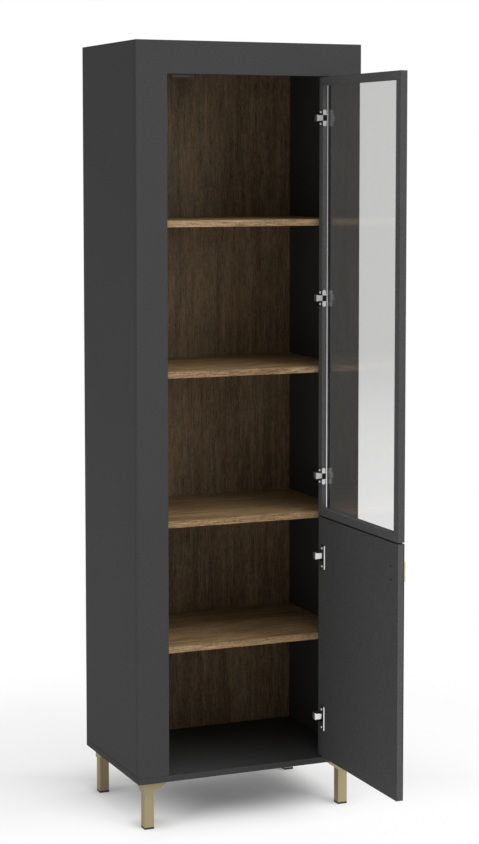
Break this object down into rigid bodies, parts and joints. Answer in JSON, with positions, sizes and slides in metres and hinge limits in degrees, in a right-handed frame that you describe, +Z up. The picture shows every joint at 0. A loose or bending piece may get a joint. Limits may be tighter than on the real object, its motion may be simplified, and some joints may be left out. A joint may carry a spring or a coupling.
{
  "type": "bookcase with glass door",
  "caption": "Tall narrow bookcase on metal legs, with oak shelves, a framed glass door above and a solid door below, hinged on the right",
  "frame": {"origin": "on the floor, at the centre of the footprint box of the part with both doors standing open at right angles; the cabinet's own front plane is 10 mm behind it", "axes": "+X to the right seen from the front, towards the hinges; +Y from the front to the back; +Z up"},
  "size_m": [0.6, 0.812, 1.94],
  "materials": {
    "graphite_board": "matt laminate on chipboard",
    "oak_board": "matt oak decor on chipboard",
    "oak_backboard": "printed oak decor on hardboard",
    "beech": "fluted beech",
    "graphite_profile": "matt graphite coating",
    "cast_key": "as cast",
    "clear_glass": "clear float glass",
    "glazing_seal": "pale glazing seal",
    "dark_plastic": "moulded",
    "gold_metal": "satin pale gold",
    "pale_gold": "satin pale gold",
    "zinc_screw": "zinc plated",
    "nickel_steel": "nickel plated"
  },
  "bodies": {
    "carcass": {"back_panel": "oak_backboard", "back_screws": "zinc_screw", "base_screws": "zinc_screw", "bottom_panel": "graphite_board", "cam_bolts": "nickel_steel", "cam_discs": "nickel_steel", "door_stop": "dark_plastic", "door_stop_screws": "nickel_steel", "foot_pad_back_left": "dark_plastic", "foot_pad_back_right": "dark_plastic", "foot_pad_front_left": "dark_plastic", "foot_pad_front_right": "dark_plastic", "front_lintel": "graphite_board", "front_stile_left": "graphite_board", "front_stile_right": "graphite_board", "glass_hinge_arm_bottom": "nickel_steel", "glass_hinge_arm_middle": "nickel_steel", "glass_hinge_arm_top": "nickel_steel", "glass_hinge_plate_bottom": "nickel_steel", "glass_hinge_plate_middle": "nickel_steel", "glass_hinge_plate_top": "nickel_steel", "hinge_plate_screws": "nickel_steel", "leg_back_left": "gold_metal", "leg_back_right": "gold_metal", "leg_front_left": "gold_metal", "leg_front_right": "gold_metal", "leg_screws": "zinc_screw", "lower_hinge_arm_bottom": "nickel_steel", "lower_hinge_arm_top": "nickel_steel", "lower_hinge_plate_bottom": "nickel_steel", "lower_hinge_plate_top": "nickel_steel", "panel_dowels": "beech", "shelf_fixed": "oak_board", "shelf_lower": "oak_board", "shelf_middle": "oak_board", "shelf_pins": "nickel_steel", "shelf_upper": "oak_board", "side_panel_left": "graphite_board", "side_panel_right": "graphite_board", "top_panel": "graphite_board"},
    "glass_door": {"frame_bottom_rail": "graphite_profile", "frame_corner_keys": "cast_key", "frame_free_stile": "graphite_profile", "frame_hinge_stile": "graphite_profile", "frame_top_rail": "graphite_profile", "glass_hinge_housing_bottom": "nickel_steel", "glass_hinge_housing_middle": "nickel_steel", "glass_hinge_housing_top": "nickel_steel", "glass_hinge_pins": "nickel_steel", "glass_hinge_screws": "nickel_steel", "glass_pane": "clear_glass", "glass_seal": "glazing_seal"},
    "lower_door": {"door_handle": "pale_gold", "handle_screws": "nickel_steel", "lower_door_panel": "graphite_board", "lower_hinge_cup_bottom": "nickel_steel", "lower_hinge_cup_top": "nickel_steel", "lower_hinge_pins": "nickel_steel", "lower_hinge_screws": "nickel_steel"}
  },
  "joints": [
    {"name": "glass_door_swing", "type": "hinge", "parent": "carcass", "child": "glass_door", "pos_m": [0.206, 0.017, 1.3075], "axis": [0, 0, 1], "range_deg": [-90, 10]},
    {"name": "lower_door_swing", "type": "hinge", "parent": "carcass", "child": "lower_door", "pos_m": [0.206, 0.017, 0.446], "axis": [0, 0, 1], "range_deg": [-90, 10]}
  ]
}
